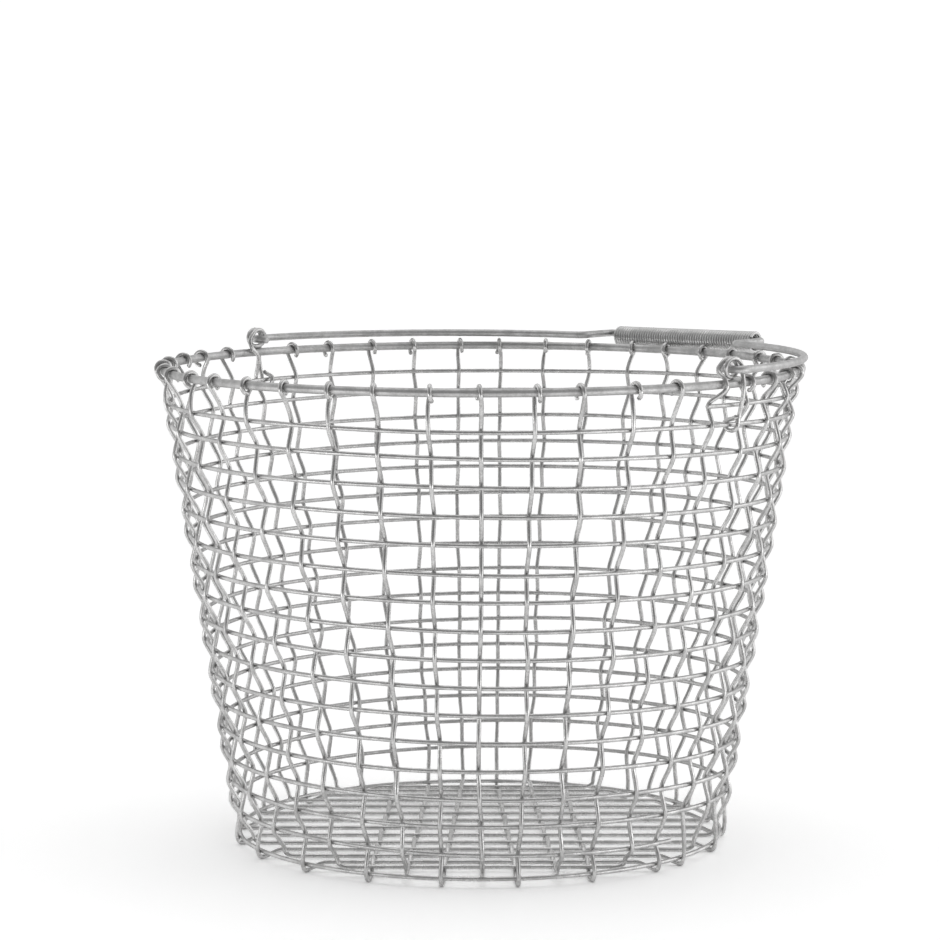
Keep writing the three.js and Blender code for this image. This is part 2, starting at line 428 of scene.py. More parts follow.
@dataclass
class Weaver:
    """The wire that winds round the stakes in one long spiral, from the rim down.

    Attributes:
        form: the wall that it follows.
        hand: the hand that wove it.
        finish: the finish of its wire.
        gauge: the wire's diameter.
        turns: turns round the wall.
        start_drop: its start below the rim.
        first_fall: fall of its first turn.
        last_rise: its end above the base hoop.
        tail: length of its first end past the stake that holds it.
        sway: unevenness of its height.
        sway_span: stakes over which that changes.
        error: gives the unevenness of its height at a place counted in stakes.
    """

    form: WallForm
    hand: UnsteadyHand
    finish: ZincFinish
    gauge: float = 0.0026
    turns: int = 16
    start_drop: float = 0.012
    first_fall: float = 0.0112
    last_rise: float = 0.0125
    tail: float = 0.0041
    sway: float = 0.0007
    sway_span: float = 4.3
    error: Callable[[float], float] = field(init=False)

    def __post_init__(self) -> None:
        """Lets the hand wander along the whole spiral."""
        self.error = self.hand.drift(self.turns * self.form.stakes, self.sway_span, self.sway)

    @property
    def pitch(self) -> float:
        """The fall of each turn after the first."""
        rise = self.form.rim_height - self.form.foot_height
        return (rise - self.start_drop - self.first_fall - self.last_rise) / (self.turns - 1)

    def place(self, n: float) -> Vector:
        """Gives the point of the spiral at a place.

        Args:
            n: stakes passed since the start.

        Returns:
            The point on the wire's centre line.
        """
        turn = (n + 0.5) / self.form.stakes
        fall = self.first_fall * turn if turn < 1 else self.first_fall + self.pitch * (turn - 1)
        z = self.form.rim_height - self.start_drop - fall + self.error(n)
        return around(self.form.radius_at(z), self.form.stake_angle(n), z)

    def build(self) -> None:
        """Winds the wire and puts it in place of the solids of its turns."""
        start = -1 - self.form.stakes_in(self.tail)
        stop = self.turns * self.form.stakes - 0.5
        knots = trace(self.place, start, stop, round(stop - start))
        piece = Wire("weaver_spiral", self.gauge, knots, steps=4).build()
        nodes = [f"weaver_turn_{turn + 1:02d}" for turn in range(self.turns)]
        fit(piece, Body.BASKET, Slot.WEAVER, self.finish, *nodes)


@dataclass(frozen=True)
class Eye:
    """One of the two eyes that the bail swings in.

    Attributes:
        stake: the stake whose end is wound.
        angle: where the eye stands on the rim.
        side: 1 if the stake comes up outside the rim, and -1 inside.
        hand: the way that its ring is wound.
        row: the weaver's place, in stakes, that the loose end is hooked round.
        reach: the hook's distance along the wall from there.
    """

    stake: int
    angle: float
    side: int
    hand: int
    row: float
    reach: float


@dataclass
class Stakes:
    """The uprights: each runs down the wall, across the floor and up again, but for one odd end.

    Attributes:
        form: the wall that they make.
        weaver: the wire that they are woven with.
        hand: the hand that wove them.
        finish: the finish of their wire.
        gauge: the wire's diameter.
        lap: distance between the centres of crossing wires.
        odd: the stake with a single upright.
        depth_pairs: stakes on each side of the odd one that cross the floor front to back.
        row_ease: tightness of the bend at each row.
        stray: unevenness of a stake's place, in stakes.
        stray_span: rows over which that changes.
        wrap_from: where the wrap over the rim begins, in turns below level.
        wrap_inside: where a wrap that ends inside the rim stops, in turns.
        wrap_outside: where a wrap that ends outside stops, in turns.
        wrap_shift: how far a wrap moves along the rim.
        wrap_slack: how far a wrap's middle hangs below the rim's, as it is a little loose.
        wrap_stop_stray: unevenness of where a wrap stops, in turns.
        wrap_shift_stray: unevenness of a wrap's move along the rim.
        wrap_spans: knots along a wrap.
        foot_tuck: how far a hook under the base hoop passes the hoop's middle, in laps.
        foot_rise: where an inner stake leaves the base hoop, in laps above it.
        eye_top: top of the eyes above the rim.
        eye_half: half the width of an eye.
        eye_start: where an eye's ring begins, in turns.
        eye_turns: where it stops, in turns.
        eye_spread: how far its turns lie apart, in laps.
        eye_spans: knots along it.
        eye_gap: from an eye to the stake that rises beside it, in laps.
        eye_lean: how far that stake has leaned over at the rim, as a share of its way.
        eye_tuck: how far it comes nearer before the ring begins, in laps.
        eye_pass: where the ends of an eye pass the rim, in seats from its middle.
        hook_reach: the loose end's hook from its place on the weaver.
        curl_out: the loose end's hook round the weaver, outwards.
        curl_down: the loose end's hook round the weaver, downwards.
        curl_turns: how far the hook goes round, in turns.
        curl_spans: knots along the hook.
        tip: the loose end past its hook: outwards, upwards and along the wall.
        floor_lift: the floor above the base hoop.
        floor_settle: from the hoop to where a stake lies level.
        floor_ease: tightness of the bend there.
        odd_crossings: cross stakes that the odd stake is woven through.
        odd_tail: its length past the last of them.
        strays: for each stake, gives the unevenness of its place at a row.
    """

    form: WallForm
    weaver: Weaver
    hand: UnsteadyHand
    finish: ZincFinish
    gauge: float = 0.0026
    lap: float = 0.00262
    odd: int = 35
    depth_pairs: int = 3
    row_ease: float = 0.24
    stray: float = 0.05
    stray_span: float = 3.0
    wrap_from: float = -0.1
    wrap_inside: float = 0.64
    wrap_outside: float = 0.73
    wrap_shift: float = 0.0023
    wrap_slack: float = 0.00045
    wrap_stop_stray: float = 0.025
    wrap_shift_stray: float = 0.0004
    wrap_spans: int = 9
    foot_tuck: float = 0.1
    foot_rise: float = 1.5
    eye_top: float = 0.0144
    eye_half: float = 0.0063
    eye_start: float = 0.125
    eye_turns: float = 1.5
    eye_spread: float = 1.4
    eye_spans: int = 12
    eye_gap: float = 1.2
    eye_lean: float = 0.8
    eye_tuck: float = 0.35
    eye_pass: float = 1.1
    hook_reach: float = 0.006
    curl_out: float = 0.0042
    curl_down: float = 0.0036
    curl_turns: float = 0.5
    curl_spans: int = 4
    tip: tuple[float, float, float] = (0.0048, 0.0048, -0.0026)
    floor_lift: float = 0.0006
    floor_settle: float = 0.0105
    floor_ease: float = 0.3
    odd_crossings: int = 8
    odd_tail: float = 0.006
    strays: list[Callable[[float], float]] = field(init=False)

    def __post_init__(self) -> None:
        """Gives each stake its own uneven way up the wall."""
        self.strays = [
            self.hand.drift(self.weaver.turns, self.stray_span, self.stray)
            for _ in range(self.form.stakes)
        ]

    @property
    def pairs(self) -> int:
        """Stakes on each side of the odd one."""
        return (self.form.stakes - 1) // 2

    @property
    def seat(self) -> float:
        """From the rim's centre to the centre of a wire that lies on it."""
        return (self.form.rim_gauge + self.gauge) / 2

    @property
    def eyes(self) -> tuple[Eye, Eye]:
        """The eye on the right, whose stake comes up outside, and the one on the left."""
        last = self.form.stakes - 1
        right = Eye(last, 0.0, 1, 1, last + 0.5, self.hook_reach)
        left = Eye(self.pairs, math.pi, -1, -1, self.pairs, -self.hook_reach)
        return right, left

    def build(self) -> None:
        """Bends all the stakes and puts each in place of its solid."""
        places = [m for m in range(-self.depth_pairs, self.depth_pairs + 1) if m]
        for number, m in enumerate(places, start=1):
            self._finish_stake(f"stake_depth_{number:02d}", self._depth_stake(m))
        self._finish_stake("stake_odd", self._odd_stake())
        for number, m in enumerate(self._cross_places(), start=1):
            self._finish_stake(f"stake_cross_{number:02d}", self._cross_stake(m))

    def _finish_stake(self, node: str, knots: list[Knot]) -> None:
        """Bends one stake in place of a solid.

        Args:
            node: the solid's name.
            knots: the points that the stake is bent through.
        """
        piece = Wire(f"{node}_wire", self.gauge, knots).build()
        fit(piece, Body.BASKET, Slot.STAKE, self.finish, node)

    def _outside(self, n: int) -> bool:
        """Whether a stake passes outside the weaver at a place counted in stakes."""
        return n % 2 == 0

    def _at(self, m: int) -> int:
        """Gives the stake that is m places round from the odd one."""
        return (self.odd + m) % self.form.stakes

    def _crossing(self, stake: int, row: int) -> Knot:
        """Bends a stake past one row of the weaver.

        Args:
            stake: the stake.
            row: the row, counted from the rim down.

        Returns:
            The knot beside the weaver.
        """
        n = stake + row * self.form.stakes
        place = n + self.strays[stake](row)
        angle = self.form.stake_angle(place)
        side = self.lap if self._outside(n) else -self.lap
        at = self.weaver.place(place) + self.form.normal(angle) * side
        return Knot(at, self.form.rise(angle), self.row_ease)

    def _end(self, stake: int) -> list[Knot]:
        """Takes one end of a stake from the floor up the wall to its cut end.

        Args:
            stake: the stake.

        Returns:
            Its knots, from the foot up.
        """
        eye = next((e for e in self.eyes if e.stake == stake), None)
        top = -1 if eye and eye.side > 0 else 0
        knots = self._foot(stake)
        for row in range(self.weaver.turns - 1, top - 1, -1):
            knots.append(self._crossing(stake, row))
        if eye:
            return knots + self._eye(eye)
        side = 1 if self._outside(stake - self.form.stakes) else -1
        return knots + self._wrap(self.form.stake_angle(stake + self.strays[stake](0)), side)

    def _foot(self, stake: int) -> list[Knot]:
        """Bends a stake round the base hoop, under it from outside or straight down inside it.

        Args:
            stake: the stake.

        Returns:
            Its knots, from the floor's edge up.
        """
        last_row = self.weaver.turns - 1
        angle = self.form.stake_angle(stake + self.strays[stake](last_row))
        hoop = around(self.form.foot_radius, angle, self.form.foot_height)
        drop = self.form.foot_height - self.gauge / 2
        rise = self.form.rise(angle)
        if self._outside(stake + self.weaver.turns * self.form.stakes):
            tuck = self.foot_tuck * self.lap
            low = Knot(beside(hoop, angle, tuck, -drop), radial(angle))
            return [low, Knot(beside(hoop, angle, self.lap, tuck), rise)]
        return [Knot(beside(hoop, angle, -self.lap, self.foot_rise * self.lap), rise)]

    def _entry(self, stake: int) -> Vector:
        """Finds where a stake comes to the floor.

        Args:
            stake: the stake.

        Returns:
            The point inside the base hoop.
        """
        last_row = self.weaver.turns - 1
        angle = self.form.stake_angle(stake + self.strays[stake](last_row))
        height = self.form.foot_height + self.floor_lift
        return around(self.form.foot_radius - self.lap, angle, height)

    def _wrap(self, angle: float, side: int) -> list[Knot]:
        """Wraps a stake's end once over the rim.

        Args:
            angle: where the stake meets the rim.
            side: 1 if it comes up outside the rim, and -1 inside.

        Returns:
            The knots of the wrap.
        """
        centre = around(self.form.rim_radius, angle, self.form.rim_height)
        stop = (self.wrap_inside if side > 0 else self.wrap_outside) + self.hand.off(self.wrap_stop_stray)
        shift = -side * (self.wrap_shift + self.hand.off(self.wrap_shift_stray))

        def path(turn: float) -> Vector:
            """Winds round the rim, moving on along it.

            Args:
                turn: turns round the rim, from level on the side that the stake comes up.

            Returns:
                The point on the wire's centre line.
            """
            radius = self.seat + self.wrap_slack
            out = side * radius * math.cos(turn * TURN)
            up = radius * math.sin(turn * TURN) - self.wrap_slack
            share = (turn - self.wrap_from) / (stop - self.wrap_from)
            return beside(centre, angle, out, up, shift * share)

        return trace(path, self.wrap_from, stop, self.wrap_spans)

    def _eye(self, eye: Eye) -> list[Knot]:
        """Winds a stake's end into a ring on the rim and hooks its loose end round the weaver.

        Args:
            eye: which of the eyes it is.

        Returns:
            The knots of the eye, from the rim up and down again.
        """
        centre = around(self.form.rim_radius, eye.angle, self.form.rim_height)
        middle = (self.eye_top + self.seat) / 2
        tall = self.eye_top - middle
        apart = self.eye_half + self.eye_gap * self.lap
        below = -self.form.rim_gauge / 2
        lean = self.eye_lean * self.seat
        past = self.eye_pass * self.seat
        pitch = self.eye_spread * self.lap

        def spot(along: float, out: float, up: float) -> Vector:
            """Steps from the rim, along it the way that the ring is wound."""
            return beside(centre, eye.angle, out, up, along * eye.hand)

        def ring(turn: float) -> Vector:
            """Winds up over the top of the eye and down under it.

            Args:
                turn: turns of the ring, from level beside the stake.

            Returns:
                The point on the wire's centre line.
            """
            along = -self.eye_half * math.cos(turn * TURN)
            up = middle + tall * math.sin(turn * TURN)
            return spot(along, pitch * (turn - self.eye_turns / 2), up)

        if eye.side > 0:
            start = [spot(-apart, self.seat, below), spot(-apart, lean, lean)]
        else:
            start = [spot(-self.lap, -past, below), spot(-self.eye_lean * apart, -past, -below)]
        start.append(spot(self.eye_tuck * self.lap - apart, -pitch * self.eye_turns / 2, 2 * self.seat))
        held = self.weaver.place(eye.row + self.form.stakes_in(eye.reach))
        held_angle = math.atan2(held.y, held.x)

        def curl(turn: float) -> Vector:
            """Hooks under the weaver from outside.

            Args:
                turn: turns of the hook, from level outside the weaver.

            Returns:
                The point on the wire's centre line.
            """
            out = self.curl_out * math.cos(turn * TURN)
            up = -self.curl_down * math.sin(turn * TURN)
            return beside(held, held_angle, out, up, self.tip[2] * turn)

        tip = beside(held, held_angle, *self.tip)
        aim = radial(held_angle) + UP
        return [
            *(Knot(at) for at in start),
            *trace(ring, self.eye_start, self.eye_turns, self.eye_spans),
            Knot(spot(self.eye_half, past, below), -UP),
            *trace(curl, 0.0, self.curl_turns, self.curl_spans),
            Knot(tip, aim.normalized()),
        ]

    def _cross_places(self) -> range:
        """Numbers the cross stakes by their place round from the odd one."""
        return range(self.depth_pairs + 1, self.pairs - self.depth_pairs + 1)

    def _cross_stake(self, m: int) -> list[Knot]:
        """Runs a stake across the floor from side to side.

        Args:
            m: its place round from the odd stake.

        Returns:
            Its knots, from one cut end to the other.
        """
        first, second = self._at(m), self._at(-m)
        start, stop = self._entry(first), self._entry(second)
        run = (stop - start).normalized()
        level = [
            Knot(start + run * self.floor_settle, run, self.floor_ease),
            Knot(stop - run * self.floor_settle, run, self.floor_ease),
        ]
        return turned_back(self._end(first)) + level + self._end(second)

    def _meeting(self, start: Vector, stop: Vector, m: int) -> Vector:
        """Finds where a line along the floor meets a cross stake.

        Args:
            start: the line's start.
            stop: the line's end.
            m: the cross stake's place.

        Returns:
            The point at the floor's height.
        """
        left, right = self._entry(self._at(m)), self._entry(self._at(-m))
        run, across, gap = stop - start, right - left, left - start
        share = gap.xy.cross(across.xy) / run.xy.cross(across.xy)
        return start + run * share

    def _lift(self, stake: int, crossing: int) -> float:
        """Says how far a stake passes over a cross stake, or under it if below zero."""
        below = self._outside(stake + self.weaver.turns * self.form.stakes + crossing)
        return -self.lap if below else self.lap

    def _depth_stake(self, m: int) -> list[Knot]:
        """Weaves a stake over and under the cross stakes, from front to back.

        Args:
            m: its place round from the odd stake.

        Returns:
            Its knots, from one cut end to the other.
        """
        front = self._at(m)
        back = self._at(int(math.copysign(self.pairs + 1 - abs(m), m)))
        start, stop = self._entry(front), self._entry(back)
        run = (stop - start).normalized()
        knots = []
        for k, place in enumerate(self._cross_places()):
            last = place == self._cross_places()[-1]
            lift = self._lift(back, 0) if last else self._lift(front, k)
            knots.append(Knot(self._meeting(start, stop, place) + UP * lift, run, self.row_ease))
        return turned_back(self._end(front)) + knots + self._end(back)

    def _odd_stake(self) -> list[Knot]:
        """Weaves the odd stake into the floor, to its cut end.

        Returns:
            Its knots, from the rim to the floor.
        """
        start = self._entry(self.odd)
        middle = UP * start.z
        run = (middle - start).normalized()
        knots = []
        for k, place in enumerate(self._cross_places()[: self.odd_crossings]):
            at = self._meeting(start, middle, place) + UP * self._lift(self.odd, k)
            knots.append(Knot(at, run, self.row_ease))
        knots.append(Knot(knots[-1].at + run * self.odd_tail, run))
        return turned_back(self._end(self.odd)) + knots


@dataclass
class Hoops:
    """The heavy rim and the thin hoop at the foot of the wall, each closed by a butt weld.

    Attributes:
        form: the wall between them.
        rim_finish: the finish of the rim.
        hoop_finish: the finish of the base hoop.
        hoop_gauge: the base hoop's diameter.
        spans: knots round each hoop.
        weld_angle: where the welds lie.
        weld_half: half the length of a weld's bead, in gauges.
        weld_swell: how much thicker a weld is than its wire.
    """

    form: WallForm
    rim_finish: ZincFinish
    hoop_finish: ZincFinish
    hoop_gauge: float = 0.0026
    spans: int = 48
    weld_angle: float = math.radians(118)
    weld_half: float = 0.45
    weld_swell: float = 1.09

    def build(self) -> None:
        """Bends both hoops and puts each in place of its solid."""
        form = self.form
        rim = self._hoop("rim_hoop", form.rim_radius, form.rim_height, form.rim_gauge)
        fit(rim, Body.BASKET, Slot.RIM, self.rim_finish, "rim")
        foot = self._hoop("foot_hoop", form.foot_radius, form.foot_height, self.hoop_gauge)
        fit(foot, Body.BASKET, Slot.HOOP, self.hoop_finish, "base_hoop")

    def _hoop(self, name: str, radius: float, z: float, gauge: float) -> bpy.types.Object:
        """Bends a wire into a ring that swells a little where its ends are welded.

        Args:
            name: the piece's name.
            radius: the ring's radius.
            z: its height.
            gauge: its wire's diameter.

        Returns:
            The ring's object.
        """
        bead = self.weld_half * gauge / radius

        def path(angle: float) -> Vector:
            """Goes round the ring."""
            return around(radius, angle, z)

        ring = trace(path, self.weld_angle + 2 * bead, self.weld_angle + TURN - 2 * bead, self.spans)
        for share in (-1, 0, 1):
            angle = self.weld_angle + share * bead
            girth = self.weld_swell if share == 0 else 1 + (self.weld_swell - 1) / 2
            ring.append(Knot(path(angle), tangent(angle), girth=girth))
        return Wire(name, gauge, ring, closed=True, steps=6, facets=6).build()


@dataclass
class Bail:
    """The bail: ends turned in through the eyes, arms over the rim and a stepped-out bar.

    Attributes:
        hinge: the middle of the hinge line, from the basket's axis.
        bar_out: the grip bar from the hinge line.
        form: the wall whose rim the arms lie on.
        finish: the finish of its wire.
        gauge: the wire's diameter.
        pin_reach: the turned-in ends, past the rim.
        pin_bend: radius where an end turns into its arm.
        arm_out: an arm outside the rim, at its eye.
        arm_radius: radius of the arms.
        bend: radius of the shoulders.
        bar_half: half the straight length of the bar.
        bend_spans: knots along each bend.
        arm_spans: knots along each arm.
    """

    hinge: Vector
    bar_out: float
    form: WallForm
    finish: ZincFinish
    gauge: float = 0.0045
    pin_reach: float = 0.009
    pin_bend: float = 0.006
    arm_out: float = 0.0066
    arm_radius: float = 0.166
    bend: float = 0.0048
    bar_half: float = 0.057
    bend_spans: int = 4
    arm_spans: int = 12

    def build(self) -> None:
        """Bends the bail and puts it in place of its solid."""
        half = self._half()
        mirror = [
            Knot(self._mirrored(k.at), -self._mirrored(k.heading), k.ease, k.girth)
            for k in reversed(half)
        ]
        piece = Wire("bail_wire_form", self.gauge, half + mirror, steps=6, facets=6).build()
        fit(piece, Body.BAIL, Slot.BAIL, self.finish, "bail")

    def _mirrored(self, at: Vector) -> Vector:
        """Gives the same point or direction on the other half of the bail."""
        return Vector((-at.x, at.y, at.z))

    def _arc(self, x: float, y: float, radius: float) -> Callable[[float], Vector]:
        """Makes a level arc at the bail's height.

        Args:
            x: the arc's middle along the hinge line.
            y: the arc's middle from the hinge line.
            radius: the arc's radius.

        Returns:
            A function from an angle to the point there.
        """

        def point(angle: float) -> Vector:
            """Goes round the arc."""
            return self.hinge + Vector((x, y, 0.0)) + radial(angle) * radius

        return point

    def _half(self) -> list[Knot]:
        """Follows the right half of the bail.

        Returns:
            The knots from its cut end to the bar.
        """
        rim = self.form.rim_radius
        arm_x = rim + self.arm_out
        middle = arm_x - self.arm_radius
        corner_x = self.bar_half + 2 * self.bend
        corner_reach = self.arm_radius + self.bend
        corner_y = self.pin_bend + math.sqrt(corner_reach**2 - (corner_x - middle) ** 2)
        arm_end = math.atan2(corner_y - self.pin_bend, corner_x - middle)
        turn_in = self._arc(arm_x - self.pin_bend, self.pin_bend, self.pin_bend)
        arm = self._arc(middle, self.pin_bend, self.arm_radius)
        step_out = self._arc(corner_x, corner_y, self.bend)
        to_bar = self._arc(self.bar_half, self.bar_out - self.bend, self.bend)
        tip = self.hinge + Vector((rim - self.pin_reach, 0.0, 0.0))
        return [
            Knot(tip, radial(0.0)),
            *trace(turn_in, -math.pi / 2, 0.0, self.bend_spans),
            *trace(arm, 0.0, arm_end, self.arm_spans)[1:-1],
            *trace(step_out, arm_end + math.pi, math.pi, self.bend_spans),
            *trace(to_bar, 0.0, math.pi / 2, self.bend_spans),
        ]


@dataclass
class Grip:
    """The close coil of wire that turns on the bail's bar.

    Attributes:
        axis: the middle of the coil, from the basket's axis.
        finish: the finish of its wire.
        gauge: the wire's diameter.
        radius: radius of the coil, to the wire's centre.
        turns: turns of the coil.
        length: length of the coil.
        tilt: how far the loose coil's right end lies higher, as an angle.
        turn_spans: knots along each turn.
    """

    axis: Vector
    finish: ZincFinish
    gauge: float = 0.00198
    radius: float = 0.0060
    turns: float = 56.4
    length: float = 0.113
    tilt: float = math.radians(0.7)
    turn_spans: int = 12

    def build(self) -> None:
        """Winds the coil and puts it in place of its solid."""
        travel = self.length - self.gauge
        along = Vector((math.cos(self.tilt), 0.0, math.sin(self.tilt)))
        out = Vector((0.0, 1.0, 0.0))
        over = along.cross(out)

        def path(turn: float) -> Vector:
            """Winds round the bar."""
            swing = out * math.cos(turn * TURN) + over * math.sin(turn * TURN)
            return self.axis + along * travel * (turn / self.turns - 0.5) + swing * self.radius

        knots = trace(path, 0.0, self.turns, round(self.turn_spans * self.turns))
        piece = Wire("grip_coil_wire", self.gauge, knots, steps=2).build()
        fit(piece, Body.GRIP, Slot.GRIP, self.finish, "grip_coil")


# Finish


class NodeTree:
    """A node tree with short ways to add and join its nodes."""

    def __init__(self, tree: bpy.types.NodeTree) -> None:
        """Keeps the tree that nodes go into."""
        self.tree = tree

    def add(self, kind: str, settings: dict[str, Any] | None = None, **sockets: Any) -> bpy.types.Node:
        """Adds a node.

        Args:
            kind: the node's type.
            settings: its own settings by name.
            sockets: its inputs by name, with _ for a space, each a value or an output to join.

        Returns:
            The node.
        """
        node = self.tree.nodes.new(kind)
        for name, value in (settings or {}).items():
            setattr(node, name, value)
        for name, value in sockets.items():
            self.join(value, node.inputs[name.replace("_", " ")])
        return node

    def join(self, value: Any, socket: bpy.types.NodeSocket) -> None:
        """Links an output to an input, or sets the input to a value.

        Args:
            value: the value, or the output to link.
            socket: the input.
        """
        if isinstance(value, bpy.types.NodeSocket):
            self.tree.links.new(value, socket)
        else:
            socket.default_value = value

    def combine(self, operation: str, first: Any, second: Any) -> bpy.types.NodeSocket:
        """Adds a node that works out one number from two.

        Args:
            operation: what it does with them.
            first: the first number, a value or an output to join.
            second: the second number.

        Returns:
            The output with the result.
        """
        node = self.add("ShaderNodeMath", {"operation": operation})
        self.join(first, node.inputs[0])
        self.join(second, node.inputs[1])
        return node.outputs["Value"]


def new_group(effect: Effect, inputs: dict[str, str], outputs: dict[str, str]) -> bpy.types.NodeTree:
    """Starts a shader node group.

    Args:
        effect: the effect that it makes.
        inputs: the types of its inputs by name.
        outputs: the types of its outputs by name.

    Returns:
        The group's tree, with its sockets and no nodes.
    """
    tree = bpy.data.node_groups.new(effect.value, "ShaderNodeTree")
    for socket, kind in inputs.items():
        tree.interface.new_socket(socket, in_out="INPUT", socket_type=kind)
    for socket, kind in outputs.items():
        tree.interface.new_socket(socket, in_out="OUTPUT", socket_type=kind)
    return tree


def zinc_bloom_group() -> bpy.types.NodeTree:
    """Makes the cloudy patches of a hot-dipped zinc coat.

    Returns:
        A group that puts out the coat's colour, and a mask of where it is dull.
    """
    tree = new_group(
        Effect.BLOOM,
        {"Place": "NodeSocketVector", "Bright": "NodeSocketColor", "Dull": "NodeSocketColor"},
        {"Colour": "NodeSocketColor", "Dullness": "NodeSocketFloat"},
    )
    nodes = NodeTree(tree)
    given = nodes.add("NodeGroupInput").outputs
    cloud = nodes.add("ShaderNodeTexNoise", Vector=given["Place"], Scale=130.0, Detail=3.0, Roughness=0.6)
    speck = nodes.add("ShaderNodeTexNoise", Vector=given["Place"], Scale=900.0, Detail=2.0, Roughness=0.55)
    both = nodes.add(
        "ShaderNodeMix",
        {"data_type": "FLOAT"},
        Factor=0.35,
        A=cloud.outputs["Fac"],
        B=speck.outputs["Fac"],
    )
    mask = nodes.add("ShaderNodeMapRange", Value=both.outputs["Result"], From_Min=0.38, From_Max=0.62)
    # A node that mixes colours has them at inputs 6 and 7, and puts the mix out at 2
    colour = nodes.add("ShaderNodeMix", {"data_type": "RGBA"}, Factor=mask.outputs["Result"])
    nodes.join(given["Bright"], colour.inputs[6])
    nodes.join(given["Dull"], colour.inputs[7])
    nodes.add("NodeGroupOutput", Colour=colour.outputs[2], Dullness=mask.outputs["Result"])
    return tree


def draw_lines_group() -> bpy.types.NodeTree:
    """Makes the fine lines that the drawing die leaves along a wire.

    Returns:
        A group that puts out the height of the wire's skin.
    """
    tree = new_group(Effect.LINES, {"Map": "NodeSocketVector"}, {"Height": "NodeSocketFloat"})
    nodes = NodeTree(tree)
    given = nodes.add("NodeGroupInput").outputs
    stretch = nodes.add("ShaderNodeMapping", Vector=given["Map"], Scale=(2600.0, 60.0, 1.0))
    lines = nodes.add("ShaderNodeTexNoise", Vector=stretch.outputs["Vector"], Scale=1.0, Detail=2.0)
    nodes.add("NodeGroupOutput", Height=lines.outputs["Fac"])
    return tree


@dataclass(frozen=True)
class ZincFinish:
    """Galvanised wire: satin zinc with cloudy patches and faint draw lines.

    Attributes:
        name: the material's name.
        bright: colour of the clean zinc.
        dull: colour of the patches.
        smooth: roughness of the clean zinc.
        rough: roughness of the patches.
        line_depth: depth of the draw lines.
        line_strength: how much of that depth shows.
        edge_tint: how bright the zinc is where it is seen along its surface.
    """

    name: str
    bright: tuple[float, float, float]
    dull: tuple[float, float, float]
    smooth: float = 0.2
    rough: float = 0.36
    line_depth: float = 0.00003
    line_strength: float = 0.5
    edge_tint: float = 0.75

    def material(self) -> bpy.types.Material:
        """Makes the material once, and gives the same one after that.

        Returns:
            The material.
        """
        made = bpy.data.materials.get(self.name)
        if made:
            return made
        made = bpy.data.materials.new(self.name)
        made.use_nodes = True
        made.node_tree.nodes.clear()
        nodes = NodeTree(made.node_tree)
        coordinates = nodes.add("ShaderNodeTexCoord").outputs
        bloom = nodes.add(
            "ShaderNodeGroup",
            {"node_tree": bpy.data.node_groups[Effect.BLOOM.value]},
            Place=coordinates["Object"],
            Bright=(*self.bright, 1.0),
            Dull=(*self.dull, 1.0),
        ).outputs
        lines = nodes.add(
            "ShaderNodeGroup",
            {"node_tree": bpy.data.node_groups[Effect.LINES.value]},
            Map=coordinates["UV"],
        ).outputs
        matt = nodes.add(
            "ShaderNodeMapRange", Value=bloom["Dullness"], To_Min=self.smooth, To_Max=self.rough
        )
        bump = nodes.add(
            "ShaderNodeBump",
            Strength=self.line_strength,
            Distance=self.line_depth,
            Height=lines["Height"],
        )
        zinc = nodes.add(
            "ShaderNodeBsdfPrincipled",
            Base_Color=bloom["Colour"],
            Metallic=1.0,
            Roughness=matt.outputs["Result"],
            Normal=bump.outputs["Normal"],
            Specular_Tint=(self.edge_tint, self.edge_tint, self.edge_tint, 1.0),
        )
        nodes.add("ShaderNodeOutputMaterial", Surface=zinc.outputs["BSDF"])
        return made


WOVEN_ZINC = ZincFinish("woven_zinc", bright=(0.645, 0.642, 0.64), dull=(0.455, 0.452, 0.45))
RIM_ZINC = ZincFinish(
    "rim_zinc", bright=(0.56, 0.558, 0.556), dull=(0.43, 0.428, 0.426), smooth=0.42, rough=0.55
)
GRIP_ZINC = ZincFinish(
    "grip_zinc", bright=(0.64, 0.638, 0.636), dull=(0.5, 0.498, 0.496), smooth=0.24, rough=0.36
)


# Studio


